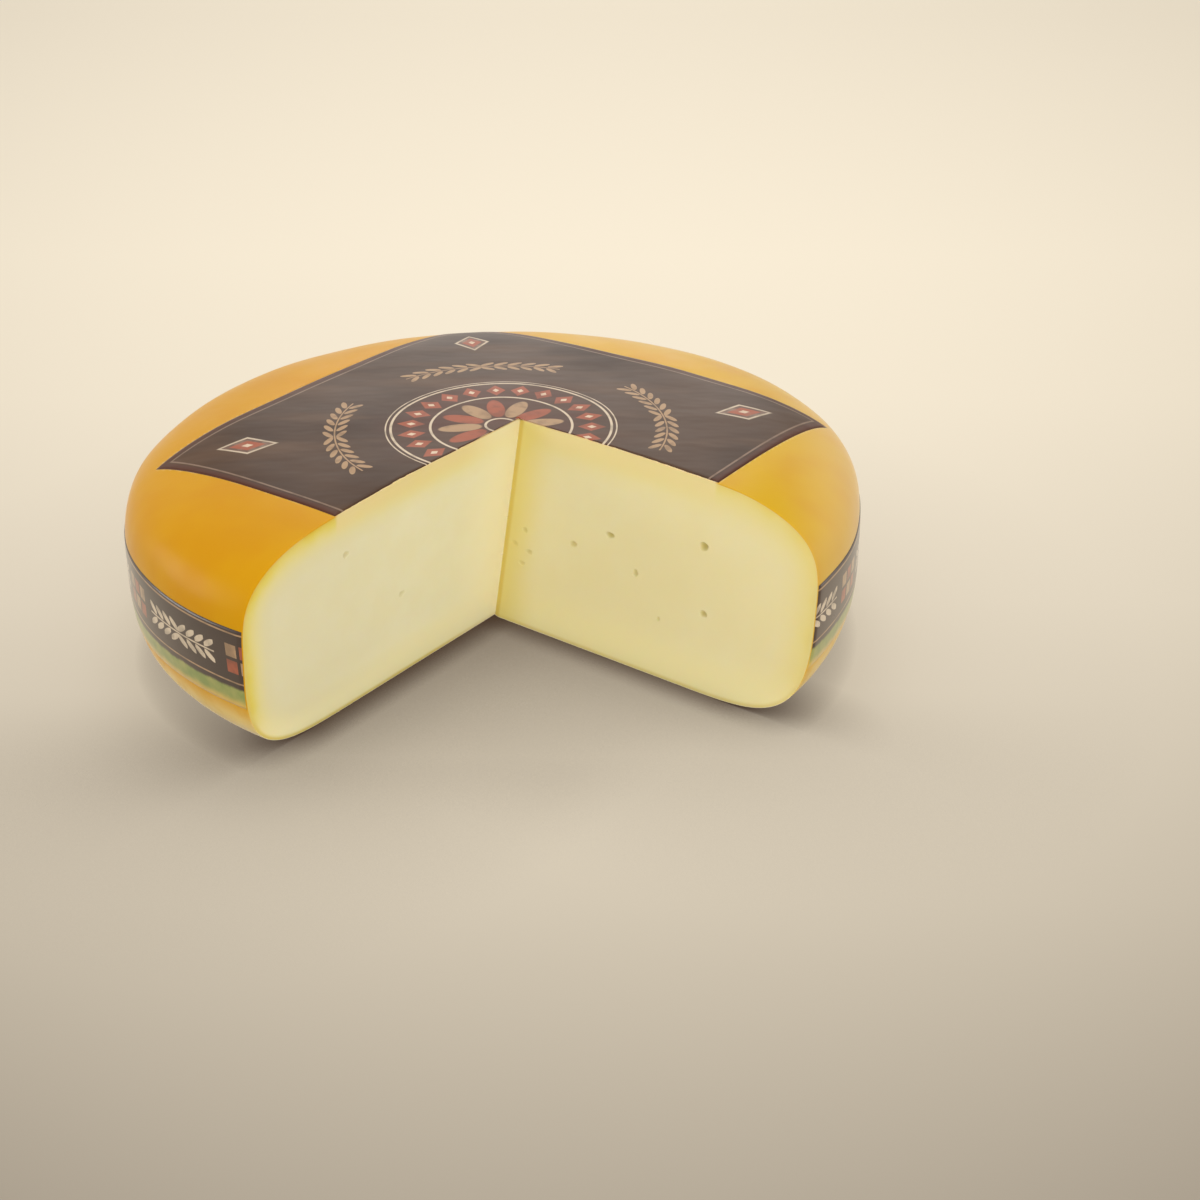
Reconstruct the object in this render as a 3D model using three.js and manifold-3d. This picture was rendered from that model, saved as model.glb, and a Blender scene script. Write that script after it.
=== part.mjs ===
// Farmhouse gouda: a cheese wheel with a quarter cut out, its square top label and its side band.
// Millimetres, +Z up. The wheel stands on its flat base, and the cut opens towards -Y.

import * as THREE from "three";
import { mergeVertices } from "three/addons/utils/BufferGeometryUtils.js";
import Module from "manifold-3d";

const wasm = await Module();
wasm.setup();

// Wheel: the flat of each side runs into the rim through a rounded shoulder.
const wheelRadius = 185;
const wheelHeight = 109;
const widestAt = 57.8;
const wheelSides = 120;
const topSide = { flatRadius: 112, crown: 4.2, roundOut: 2.65, roundUp: 3.66, steps: 14 };
const baseSide = { flatRadius: 98.8, crown: 0, roundOut: 5.08, roundUp: 3.13, steps: 12 };
const flatRings = 3;
const samePoint = 0.001;

// Slow waves round the rim, as a soft wheel gets while it ripens on its shelf. A crest is in degrees.
const rimWaves = [
  { count: 2, depth: 0.5, crest: -13 },
  { count: 3, depth: 1.35, crest: -56 },
  { count: 4, depth: 1.4, crest: 28 },
];

// Cut: two flat faces that meet in a crease, which leans because the knife did.
// Angles are in degrees from +X.
const creaseAtBase = new THREE.Vector2(-4.8, 2);
const creaseAtTop = new THREE.Vector2(10.5, 9.2);
const leftFaceAngle = 234.5;
const rightFaceAngle = 322.6;
const knifeOverrun = 2.4;
const knifeGap = 2.6;
const cutReach = 400;
const cutMargin = 10;

// Eyes in the two cut faces: distance from the crease, height, and radius.
const eyeSides = 12;
const eyeRings = 8;
const eyeSunk = 0.3;
const leftEyes = [
  { along: 125.6, up: 84.2, radius: 1.8 },
  { along: 80.4, up: 45.8, radius: 1.8 },
];
const rightEyes = [
  { along: 8.0, up: 43.4, radius: 1.5 },
  { along: 13.3, up: 52.2, radius: 1.5 },
  { along: 14.2, up: 34.1, radius: 1.5 },
  { along: 17.8, up: 41.3, radius: 1.6 },
  { along: 44.5, up: 53.5, radius: 2.0 },
  { along: 65.9, up: 64.5, radius: 2.1 },
  { along: 84.1, up: 49.5, radius: 1.8 },
  { along: 101.8, up: 30.2, radius: 1.1 },
  { along: 120.6, up: 74.1, radius: 2.4 },
  { along: 126.6, up: 40.8, radius: 2.0 },
];

// Label and band: thin skins that stand a hair off the rind.
const skinGap = 0.3;
const skinThickness = 0.4;
const labelLowest = 80;
// The label's four corners in plan. It was laid by hand, so it is not quite square.
const labelCorners = [
  new THREE.Vector2(-166, -29.5),
  new THREE.Vector2(34, -177),
  new THREE.Vector2(169, 30),
  new THREE.Vector2(-28, 168.5),
];
const bandLow = 31.5;
const bandHigh = 73;
const bandSteps = 6;

const rindMaterial = new THREE.MeshStandardMaterial({ color: 0xdca22f, roughness: 0.32, metalness: 0 });
const labelMaterial = new THREE.MeshStandardMaterial({ color: 0x6b5850, roughness: 0.35, metalness: 0 });
const bandMaterial = new THREE.MeshStandardMaterial({ color: 0x65574c, roughness: 0.35, metalness: 0 });

// One point of a shoulder, by its turn from the rim at 0 to the flat at a quarter turn.
function shoulderPoint(side, rise, turn) {
  const out = Math.pow(Math.abs(Math.cos(turn)), 2 / side.roundOut);
  const up = Math.pow(Math.abs(Math.sin(turn)), 2 / side.roundUp);
  const radius = side.flatRadius + (wheelRadius - side.flatRadius) * out;
  const crown = side.crown * (1 - (radius / wheelRadius) ** 2);
  return new THREE.Vector2(radius, ((rise - side.crown) + crown) * up);
}

// The profile from the rim to the axis, as radius and rise above the widest ring.
function sideProfile(side, rise) {
  const points = [];
  for (let step = 0; step <= side.steps; step += 1) {
    points.push(shoulderPoint(side, rise, (step / side.steps) * (Math.PI / 2)));
  }
  for (let ring = flatRings - 1; ring >= 0; ring -= 1) {
    const radius = (side.flatRadius * ring) / flatRings;
    const crown = side.crown * (1 - (radius / wheelRadius) ** 2);
    points.push(new THREE.Vector2(radius, rise - side.crown + crown));
  }
  return points;
}

// The whole wheel's profile, from the axis at the base, round the rim, to the axis at the top.
function wheelProfile() {
  const below = sideProfile(baseSide, widestAt);
  const above = sideProfile(topSide, wheelHeight - widestAt);
  const lower = below.map((point) => new THREE.Vector2(point.x, widestAt - point.y));
  const upper = above.map((point) => new THREE.Vector2(point.x, widestAt + point.y));
  return [...lower.reverse(), ...upper.slice(1)];
}

// Moves each point of a line outward, square to the line.
function offsetLine(points, distance) {
  return points.map((point, index) => {
    const before = points[Math.max(index - 1, 0)];
    const after = points[Math.min(index + 1, points.length - 1)];
    const along = new THREE.Vector2().subVectors(after, before).normalize();
    const radius = point.x === 0 ? 0 : point.x + along.y * distance;
    return new THREE.Vector2(radius, point.y - along.x * distance);
  });
}

// The radius of the profile at a height on the rim.
function rimRadius(height) {
  const profile = wheelProfile();
  const next = profile.findIndex((point) => point.x > baseSide.flatRadius && point.y > height);
  const low = profile[next - 1];
  const high = profile[next];
  return THREE.MathUtils.mapLinear(height, low.y, high.y, low.x, high.x);
}

// Turns a profile round the axis, stands it up along +Z and gives it the rim's slow waves.
function turned(profile) {
  const geometry = new THREE.LatheGeometry(profile, wheelSides).rotateX(Math.PI / 2);
  const position = geometry.attributes.position;
  for (let index = 0; index < position.count; index += 1) {
    const x = position.getX(index);
    const y = position.getY(index);
    const angle = Math.atan2(y, x);
    let scale = 1;
    for (const wave of rimWaves) {
      const crest = THREE.MathUtils.degToRad(wave.crest);
      scale += (wave.depth / wheelRadius) * Math.cos(wave.count * (angle - crest));
    }
    position.setXY(index, x * scale, y * scale);
  }
  return geometry;
}

// A closed geometry as a solid that can be cut and joined.
function toSolid(geometry) {
  const bare = geometry.clone();
  bare.deleteAttribute("normal");
  bare.deleteAttribute("uv");
  const merged = mergeVertices(bare, samePoint);
  const corners = merged.index.array;
  const kept = [];
  for (let first = 0; first < corners.length; first += 3) {
    const [a, b, c] = corners.slice(first, first + 3);
    if (a !== b && b !== c && c !== a) {
      kept.push(a, b, c);
    }
  }
  const vertProperties = new Float32Array(merged.attributes.position.array);
  const triVerts = new Uint32Array(kept);
  return new wasm.Manifold(new wasm.Mesh({ numProp: 3, vertProperties, triVerts }));
}

// A solid as a named mesh of the scene.
function toMesh(name, solid, material) {
  const result = solid.getMesh();
  const geometry = new THREE.BufferGeometry();
  const points = new Float32Array(result.vertProperties);
  const corners = new Uint32Array(result.triVerts);
  geometry.setAttribute("position", new THREE.BufferAttribute(points, 3));
  geometry.setIndex(new THREE.BufferAttribute(corners, 1));
  geometry.computeVertexNormals();
  const mesh = new THREE.Mesh(geometry, material);
  mesh.name = name;
  return mesh;
}

function direction(degrees) {
  const angle = THREE.MathUtils.degToRad(degrees);
  return new THREE.Vector2(Math.cos(angle), Math.sin(angle));
}

// The space that was cut out: a quarter with its corner run on a little where the knife went too far.
function cutSpace() {
  const left = direction(leftFaceAngle);
  const right = direction(rightFaceAngle);
  const outline = new THREE.Shape([
    creaseAtBase.clone().addScaledVector(left, -knifeOverrun),
    creaseAtBase.clone().addScaledVector(left, cutReach),
    creaseAtBase.clone().addScaledVector(right, cutReach),
    creaseAtBase.clone().addScaledVector(right, knifeGap),
  ]);
  const depth = wheelHeight + 2 * cutMargin;
  const block = new THREE.ExtrudeGeometry(outline, { depth, bevelEnabled: false });
  const lean = new THREE.Vector2().subVectors(creaseAtTop, creaseAtBase).divideScalar(wheelHeight);
  block.translate(0, 0, -cutMargin);
  block.applyMatrix4(new THREE.Matrix4().makeShear(0, 0, 0, 0, lean.x, lean.y));
  return toSolid(block);
}

// A small round pit in a cut face. Inward points from the face into the cheese.
function eyePit(eye, faceAngle, inward) {
  const crease = creaseAtBase.clone().lerp(creaseAtTop, eye.up / wheelHeight);
  const middle = crease.addScaledVector(direction(faceAngle), eye.along);
  middle.addScaledVector(inward, eye.radius * eyeSunk);
  const pit = new THREE.SphereGeometry(eye.radius, eyeSides, eyeRings);
  pit.translate(middle.x, middle.y, eye.up);
  return toSolid(pit);
}

function makeCheese(cut) {
  let solid = toSolid(turned(wheelProfile())).subtract(cut);
  for (const eye of leftEyes) {
    solid = solid.subtract(eyePit(eye, leftFaceAngle, direction(leftFaceAngle - 90)));
  }
  for (const eye of rightEyes) {
    solid = solid.subtract(eyePit(eye, rightFaceAngle, direction(rightFaceAngle + 90)));
  }
  return toMesh("cheese", solid, rindMaterial);
}

// A closed skin between two offsets of one stretch of the profile.
function skinShell(stretch) {
  const inner = offsetLine(stretch, skinGap);
  const outer = offsetLine(stretch, skinGap + skinThickness);
  return [...outer, ...inner.reverse(), outer[0].clone()];
}

// The label's four-sided outline, cut from a sheet that follows the top.
function makeTopLabel(cut) {
  const topStretch = wheelProfile().filter((point) => point.y > labelLowest);
  const sheet = toSolid(turned(skinShell(topStretch)));
  const options = { depth: wheelHeight, bevelEnabled: false };
  const block = new THREE.ExtrudeGeometry(new THREE.Shape(labelCorners), options);
  block.translate(0, 0, labelLowest);
  const solid = sheet.intersect(toSolid(block)).subtract(cut);
  return toMesh("top_label", solid, labelMaterial);
}

function makeSideBand(cut) {
  const stretch = [];
  for (let step = 0; step <= bandSteps; step += 1) {
    const height = THREE.MathUtils.lerp(bandLow, bandHigh, step / bandSteps);
    stretch.push(new THREE.Vector2(rimRadius(height), height));
  }
  const ring = toSolid(turned(skinShell(stretch)));
  return toMesh("side_band", ring.subtract(cut), bandMaterial);
}

// Sets the origin on the floor, under the middle of the whole part.
function centre(part) {
  const box = new THREE.Box3().setFromObject(part);
  const middle = box.getCenter(new THREE.Vector3());
  for (const piece of part.children) {
    piece.position.set(-middle.x, -middle.y, -box.min.z);
  }
}

const gouda = new THREE.Group();
const cut = cutSpace();
gouda.add(makeCheese(cut));
gouda.add(makeTopLabel(cut));
gouda.add(makeSideBand(cut));
centre(gouda);

export default gouda;
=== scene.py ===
from math import cos, pi, radians, sin, tau
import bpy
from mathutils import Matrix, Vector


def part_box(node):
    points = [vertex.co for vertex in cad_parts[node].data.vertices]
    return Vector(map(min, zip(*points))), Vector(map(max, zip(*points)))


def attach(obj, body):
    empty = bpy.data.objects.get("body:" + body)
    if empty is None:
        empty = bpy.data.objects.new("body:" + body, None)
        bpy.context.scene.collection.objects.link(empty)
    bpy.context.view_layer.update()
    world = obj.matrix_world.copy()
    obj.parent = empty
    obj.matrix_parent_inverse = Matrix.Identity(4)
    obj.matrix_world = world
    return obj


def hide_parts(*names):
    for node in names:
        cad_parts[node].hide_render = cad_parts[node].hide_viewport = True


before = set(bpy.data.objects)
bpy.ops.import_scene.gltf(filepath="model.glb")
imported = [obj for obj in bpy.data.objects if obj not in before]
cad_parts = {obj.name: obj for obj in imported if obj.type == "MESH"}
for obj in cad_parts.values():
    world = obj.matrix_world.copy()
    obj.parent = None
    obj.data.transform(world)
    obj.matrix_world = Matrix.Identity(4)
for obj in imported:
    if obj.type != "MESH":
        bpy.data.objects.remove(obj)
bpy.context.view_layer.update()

from types import SimpleNamespace

import bmesh
import bpy
import numpy as np

# Farmhouse gouda: a cheese wheel with a quarter cut out, its square top label and its side band.
# Lengths below are in millimetres and angles in degrees, measured round the wheel's own axis.
# They become metres in the frame when a mesh is made.
MM = 0.001

# Wheel
WHEEL_RADIUS = 185.0
WHEEL_HEIGHT = 109.0
WIDEST_AT = 57.8
TOP_SIDE = {"flat_radius": 112.0, "crown": 4.2, "round_out": 2.65, "round_up": 3.66}
BASE_SIDE = {"flat_radius": 98.8, "crown": 0.0, "round_out": 5.08, "round_up": 3.13}
RIM_WAVES = ((2, 0.5, -13), (3, 1.35, -56), (4, 1.4, 28))

# Cut
CREASE_AT_BASE = np.array([-4.8, 2.0])
CREASE_AT_TOP = np.array([10.5, 9.2])
LEFT_FACE_ANGLE = 234.5
RIGHT_FACE_ANGLE = 322.6
KNIFE_OVERRUN = 1.0
KNIFE_GAP = 3.4
EDGE_ROUNDING = 0.45
MOST_OF_ROOM = 0.3
LEFT_OUTWARD = LEFT_FACE_ANGLE + 90
RIGHT_OUTWARD = RIGHT_FACE_ANGLE - 90

# Eyes: distance from the crease, height, half width, half height, and how clear each is
LEFT_EYES = (
    (125.6, 84.2, 2.1, 1.9, 0.4),
    (80.4, 45.8, 2.2, 1.9, 0.35),
)
RIGHT_EYES = (
    (8.0, 43.4, 2.2, 1.5, 0.3),
    (13.3, 52.2, 1.8, 1.5, 0.4),
    (14.2, 34.1, 2.4, 1.3, 0.3),
    (17.8, 41.3, 2.2, 1.5, 0.4),
    (44.5, 53.5, 2.3, 1.8, 0.6),
    (65.9, 64.5, 2.6, 1.6, 0.9),
    (84.1, 49.5, 1.7, 2.0, 0.6),
    (101.8, 30.2, 0.9, 1.4, 0.5),
    (120.6, 74.1, 2.7, 2.1, 1.0),
    (126.6, 40.8, 2.4, 1.6, 0.85),
)
EYE_DEPTH = 0.7

# Label and band: thin printed skins. The label was laid by hand, so its corners are not quite square.
LABEL_CORNERS = np.array([[-166, -29.5], [34, -177], [169, 30], [-28, 168.5]])
PRINT_HALF = 122.0
BAND_LOW = 31.5
BAND_DARK = 42.0
BAND_HIGH = 73.0
SKIN_UNDER = -0.1
SKIN_OVER = 0.35
SKIN_BACK = 0.5
SKIN_EDGE = 0.04
LABEL_JOGS = 0.6
BAND_REPEAT = 92.0
BAND_PHASE = 24.0

# Handmade unevenness: how far the rim and the top wander
RIM_WANDER = 0.35
TOP_WANDER = 0.3

# Mesh density
PROFILE_POINTS = 4000
RIND_COLUMNS = 260
FLAT_ROWS = 60
RIM_ROWS = 140
FACE_COLUMNS = 110
FACE_CROWDING = 1.6
LABEL_ROWS = 90
BAND_ROWS = 30
EYE_CUTS = 7

# Camera, from a fit of the wheel's outlines to the photograph
CAMERA_PLACE = (51.6, -875.0, 474.8)
CAMERA_PITCH = 27.97
CAMERA_LENS = 56.57
SENSOR_WIDTH = 36.0


# Shape of the wheel

def shoulder(side, rise, count):
    """Radius and rise of one shoulder, from the rim to its flat."""
    turn = np.linspace(0, pi / 2, count)
    out = np.abs(np.cos(turn)) ** (2 / side["round_out"])
    up = np.abs(np.sin(turn)) ** (2 / side["round_up"])
    radius = side["flat_radius"] + (WHEEL_RADIUS - side["flat_radius"]) * out
    crown = side["crown"] * (1 - (radius / WHEEL_RADIUS) ** 2)
    return np.column_stack([radius, (rise - side["crown"] + crown) * up])


def rim_profile(count):
    """Radius and height from the edge of the base's flat to the edge of the top's flat, evenly spaced."""
    low = shoulder(BASE_SIDE, WIDEST_AT, PROFILE_POINTS)
    high = shoulder(TOP_SIDE, WHEEL_HEIGHT - WIDEST_AT, PROFILE_POINTS)
    low[:, 1] = WIDEST_AT - low[:, 1]
    high[:, 1] = WIDEST_AT + high[:, 1]
    line = np.concatenate([low[::-1], high[1:]])
    steps = np.hypot(*np.diff(line, axis=0).T)
    along = np.concatenate([[0], np.cumsum(steps)])
    even = np.linspace(0, along[-1], count)
    return np.column_stack([np.interp(even, along, line[:, axis]) for axis in (0, 1)])


def top_height(radius):
    """Height of the top side at a radius."""
    fine = shoulder(TOP_SIDE, WHEEL_HEIGHT - WIDEST_AT, PROFILE_POINTS)[::-1]
    on_shoulder = WIDEST_AT + np.interp(radius, fine[:, 0], fine[:, 1])
    on_flat = WHEEL_HEIGHT - TOP_SIDE["crown"] * (radius / WHEEL_RADIUS) ** 2
    return np.where(radius < TOP_SIDE["flat_radius"], on_flat, on_shoulder)


def rim_radius(height):
    """Radius of the rim at a height between the two flats."""
    line = rim_profile(2000)
    return np.interp(height, line[:, 1], line[:, 0])


def rim_scale(angle):
    """How much the slow waves push the rim out at an angle."""
    scale = np.ones_like(angle)
    for count, depth, crest in RIM_WAVES:
        scale = scale + depth / WHEEL_RADIUS * np.cos(count * (angle - radians(crest)))
    return scale


def crease_at(height):
    """The crease's place in plan at a height."""
    share = np.asarray(height)[..., None] / WHEEL_HEIGHT
    return CREASE_AT_BASE * (1 - share) + CREASE_AT_TOP * share


def reach(radius, height, angle):
    """Distance from the crease, in the direction of the angle, to the wheel's radius."""
    crease = crease_at(height)
    along = crease[..., 0] * np.cos(angle) + crease[..., 1] * np.sin(angle)
    target = radius
    for _ in range(4):
        length = -along + np.sqrt(along ** 2 - (crease ** 2).sum(-1) + target ** 2)
        x = crease[..., 0] + length * np.cos(angle)
        y = crease[..., 1] + length * np.sin(angle)
        target = radius * rim_scale(np.arctan2(y, x))
    return length


def from_crease(length, height, angle):
    """The point at a distance from the crease."""
    crease = crease_at(height)
    x = crease[..., 0] + length * np.cos(angle)
    y = crease[..., 1] + length * np.sin(angle)
    return np.stack([x, y, np.broadcast_to(height, x.shape)], -1)


def plain_radius(points):
    """Radius of points with the rim's slow waves taken out."""
    angle = np.arctan2(points[..., 1], points[..., 0])
    return np.hypot(points[..., 0], points[..., 1]) / rim_scale(angle)


def body_angles(columns):
    """Directions from the crease through the cheese, from the right face round to the left one."""
    return np.radians(np.linspace(RIGHT_FACE_ANGLE - 360, LEFT_FACE_ANGLE, columns))


def rind_grid():
    """The rind as columns round the crease, each from the crease's foot round the rim to its top."""
    angle = body_angles(RIND_COLUMNS)[:, None]
    rim = rim_profile(RIM_ROWS)
    rim_reach = reach(rim[None, :, 0], rim[None, :, 1], angle)
    middle = from_crease(rim_reach, np.broadcast_to(rim[None, :, 1], rim_reach.shape), angle)
    share = np.linspace(0, 1, FLAT_ROWS)[None, :]
    foot = from_crease(share * rim_reach[:, :1], np.zeros_like(share), angle)
    height = np.full_like(share, WHEEL_HEIGHT)
    for _ in range(3):
        top = from_crease(share * rim_reach[:, -1:], height, angle)
        height = top_height(plain_radius(top))
    top[..., 2] = height
    return np.concatenate([foot[:, :-1], middle, top[:, ::-1][:, 1:]], axis=1)


def unit(vectors):
    """Vectors at length one, with zero vectors left as they are."""
    size = np.linalg.norm(vectors, axis=-1, keepdims=True)
    return vectors / np.maximum(size, 1e-9)


def cut_face(rind, edge, inner):
    """The grid of one cut face, and the rind's column moved back to make room for the rounded edge.

    Columns run from the crease to the rind. edge is the rind's column on the cut and inner the next one.
    """
    outline = rind[edge].copy()
    steps = np.linalg.norm(np.diff(outline, axis=0), axis=1)
    share = np.concatenate([[0], np.cumsum(steps)]) / steps.sum()
    crease = outline[0] * (1 - share[:, None]) + outline[-1] * share[:, None]
    into_rind = rind[inner] - outline
    into_face = crease - outline
    room = np.minimum(np.linalg.norm(into_rind, axis=1), np.linalg.norm(into_face, axis=1))
    rounding = np.minimum(EDGE_ROUNDING, MOST_OF_ROOM * room)[:, None]
    start = outline + rounding * unit(into_face)
    end = outline + rounding * unit(into_rind)
    rind[edge] = end
    column = np.linspace(0, 1, FACE_COLUMNS)
    near = 1 - (1 - column) ** FACE_CROWDING
    face = crease[:, None] + near[None, :, None] * (start - crease)[:, None]
    turn = np.array([0.25, 0.5, 0.75])[None, :, None]
    rounded = (1 - turn) ** 2 * start[:, None] + 2 * turn * (1 - turn) * outline[:, None]
    rounded = rounded + turn ** 2 * end[:, None]
    return np.concatenate([face, rounded, end[:, None]], axis=1)


# Meshes

def grid_faces(rows, columns, first=0, flip=False):
    """Quads of a grid whose points are numbered row by row."""
    row, column = np.meshgrid(np.arange(rows - 1), np.arange(columns - 1), indexing="ij")
    a = (first + row * columns + column).ravel()
    quads = np.column_stack([a, a + 1, a + columns + 1, a + columns])
    return quads[:, ::-1] if flip else quads


def wheel_shift():
    """From the wheel's axis to the frame, in millimetres: the CAD box is centred on the frame."""
    cheese = rind_grid().reshape(-1, 3)
    low, high = (np.array(corner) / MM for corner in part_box("cheese"))
    middle = (low + high) / 2 - (cheese.min(0) + cheese.max(0)) / 2
    return np.array([middle[0], middle[1], 0.0])


SHIFT = wheel_shift()


def make_object(name, points, faces):
    """A smooth mesh object from points in millimetres round the wheel's axis."""
    mesh = bpy.data.meshes.new(name)
    mesh.from_pydata(((points + SHIFT) * MM).tolist(), [], faces.tolist())
    work = bmesh.new()
    work.from_mesh(mesh)
    bmesh.ops.remove_doubles(work, verts=work.verts, dist=0.01 * MM)
    bmesh.ops.recalc_face_normals(work, faces=work.faces)
    work.to_mesh(mesh)
    work.free()
    mesh.polygons.foreach_set("use_smooth", [True] * len(mesh.polygons))
    piece = bpy.data.objects.new(name, mesh)
    bpy.context.scene.collection.objects.link(piece)
    return piece


def points_of(mesh):
    """The mesh's points in millimetres round the wheel's axis."""
    flat = np.empty(len(mesh.vertices) * 3)
    mesh.vertices.foreach_get("co", flat)
    return flat.reshape(-1, 3) / MM - SHIFT


def set_points(mesh, points):
    mesh.vertices.foreach_set("co", ((points + SHIFT) * MM).ravel())
    mesh.update()


def set_number(mesh, name, values):
    layer = mesh.attributes.new(name, "FLOAT", "POINT")
    layer.data.foreach_set("value", np.asarray(values, dtype=np.float32))


def set_place(mesh, name, values):
    layer = mesh.attributes.new(name, "FLOAT_VECTOR", "POINT")
    layer.data.foreach_set("vector", np.asarray(values, dtype=np.float32).ravel())


def direction(angle):
    return np.array([cos(radians(angle)), sin(radians(angle)), 0.0])


def eye_places():
    """Middle, outward direction, half width, half height and clearness of every eye."""
    places = []
    sides = ((LEFT_EYES, LEFT_FACE_ANGLE, LEFT_OUTWARD), (RIGHT_EYES, RIGHT_FACE_ANGLE, RIGHT_OUTWARD))
    for eyes, angle, outward in sides:
        for along, up, half_width, half_height, clear in eyes:
            crease = crease_at(np.array(up))
            middle = np.array([crease[0], crease[1], up]) + along * direction(angle)
            places.append((middle, direction(outward), half_width, half_height, clear))
    return places


def refine_round_eyes(mesh):
    """Splits the faces round each eye, so that the pits have enough points."""
    work = bmesh.new()
    work.from_mesh(mesh)
    for middle, _, half_width, half_height, _ in eye_places():
        centre = (middle + SHIFT) * MM
        room = (1.4 * max(half_width, half_height) + 1.2) * MM
        near = set()
        for face in work.faces:
            away = np.array(face.calc_center_median()) - centre
            if away @ away < room ** 2:
                near.update(face.edges)
        bmesh.ops.subdivide_edges(work, edges=list(near), cuts=EYE_CUTS, use_grid_fill=True)
    work.to_mesh(mesh)
    work.free()


def press_eyes(points, seed=4):
    """Pushes the pits in and returns the points with how deep each lies in an eye, from 0 to 1."""
    random = np.random.default_rng(seed)
    depth_share = np.zeros(len(points))
    for middle, outward, half_width, half_height, clear in eye_places():
        offset = points - middle
        up = offset[:, 2] / half_height
        level = np.cross(outward, [0, 0, 1.0])
        across = (offset @ level) / half_width
        turn = np.arctan2(up, across)
        phase = random.uniform(0, tau, 3)
        wobble = 1 + 0.06 * np.cos(2 * turn + phase[0]) + 0.05 * np.cos(3 * turn + phase[1])
        wobble = wobble + 0.03 * np.cos(5 * turn + phase[2])
        ratio = np.hypot(across, up) / wobble
        close = np.abs(offset @ outward) < 1.0
        bowl = np.where(close, clear * np.clip(1 - ratio ** 2, 0, 1) ** 0.7, 0)
        points = points - (EYE_DEPTH * half_height * bowl)[:, None] * outward
        depth_share = np.maximum(depth_share, bowl)
    return points, depth_share


def rind_depth(points):
    """How far each point lies below the wheel's uncut surface."""
    rim = rim_profile(400)
    radius = plain_radius(points)
    place = np.column_stack([radius, points[:, 2]])
    over_base = np.where(radius <= rim[0, 0], points[:, 2], np.inf)
    under_top = np.where(radius <= rim[-1, 0], np.abs(top_height(radius) - points[:, 2]), np.inf)
    depth = np.minimum(over_base, under_top)
    for start, end in zip(rim[:-1], rim[1:]):
        along = end - start
        share = np.clip((place - start) @ along / (along @ along), 0, 1)
        gap = np.hypot(*(place - start - share[:, None] * along).T)
        depth = np.minimum(depth, gap)
    return depth


def along_faces(points):
    """How far each point lies from the crease along the left face and along the right one."""
    left = direction(LEFT_FACE_ANGLE)[:2]
    right = direction(RIGHT_FACE_ANGLE)[:2]
    offset = points[:, :2] - crease_at(points[:, 2])
    return np.linalg.solve(np.column_stack([left, right]), offset.T)


def push_crease(points):
    """Opens the thin slit that the knife left by running a little past the crease."""
    along_left, along_right = along_faces(points)
    on_right = np.clip(1 - along_right / KNIFE_GAP, 0, 1)
    on_left = np.clip(1 - along_left / (4 * KNIFE_GAP), 0, 1)
    beyond = np.exp(-np.hypot(along_left, along_right) / KNIFE_GAP)
    on_faces = np.where(along_left > 1e-3, on_left, on_right)
    behind = (along_left < -0.3) | (along_right < -0.3) | (np.maximum(along_left, along_right) < 1e-3)
    amount = np.where(behind, beyond, on_faces)
    moved = points.copy()
    moved[:, :2] -= (KNIFE_OVERRUN * amount)[:, None] * direction(LEFT_FACE_ANGLE)[:2]
    return moved


def slow_noise(points, length, seed):
    """A smooth field between about -1 and 1 that changes over a length."""
    random = np.random.default_rng(seed)
    total = np.zeros(len(points))
    waves = 14
    for _ in range(waves):
        heading = unit(random.normal(size=3))
        rate = tau / (length * random.uniform(0.7, 1.6))
        total += np.sin(rate * (points @ heading) + random.uniform(0, tau))
    return total / np.sqrt(waves)


def unevenness(points):
    """The wheel's slight handmade unevenness, kept off the flat that it rests on."""
    radius = plain_radius(points)
    outward = np.column_stack([points[:, 0], points[:, 1], np.zeros(len(points))])
    outward = unit(outward)
    rim_share = np.clip((radius - 90) / 80, 0, 1)
    top_share = np.clip((points[:, 2] - 60) / 45, 0, 1)
    lift = np.clip(points[:, 2] / 20, 0, 1)
    sideways = RIM_WANDER * slow_noise(points, 70, 21) * rim_share * lift
    upward = TOP_WANDER * slow_noise(points, 60, 22) * top_share
    moved = points + sideways[:, None] * outward
    moved[:, 2] += upward
    return moved


def make_cheese():
    rind = rind_grid()
    right = cut_face(rind, 0, 1)
    left = cut_face(rind, -1, -2)
    blocks = [rind, right, left]
    points = np.concatenate([block.reshape(-1, 3) for block in blocks])
    faces = []
    first = 0
    for block in blocks:
        faces.append(grid_faces(block.shape[0], block.shape[1], first))
        first += block.shape[0] * block.shape[1]
    piece = make_object("gouda_cheese", points, np.concatenate(faces))
    refine_round_eyes(piece.data)
    points = points_of(piece.data)
    set_number(piece.data, "rind_depth", rind_depth(points))
    points, in_eye = press_eyes(points)
    set_number(piece.data, "in_eye", in_eye)
    along_left, along_right = along_faces(points)
    set_place(piece.data, "along_faces", np.column_stack([along_left, along_right, points[:, 2]]))
    set_number(piece.data, "under_label", under_label(points))
    points = push_crease(points)
    points = unevenness(points)
    set_points(piece.data, points)
    return piece


def label_reach(angle, crease):
    """Distance from the crease to the label's outline in each direction."""
    length = np.full_like(angle, np.inf)
    heading = np.stack([np.cos(angle), np.sin(angle)], -1)
    for start, end in zip(LABEL_CORNERS, np.roll(LABEL_CORNERS, -1, axis=0)):
        along = end - start
        outward = np.array([along[1], -along[0]])
        facing = heading @ outward
        hit = ((start - crease) @ outward) / np.where(facing > 0, facing, 1)
        length = np.where(facing > 0, np.minimum(length, hit), length)
    return length


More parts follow.
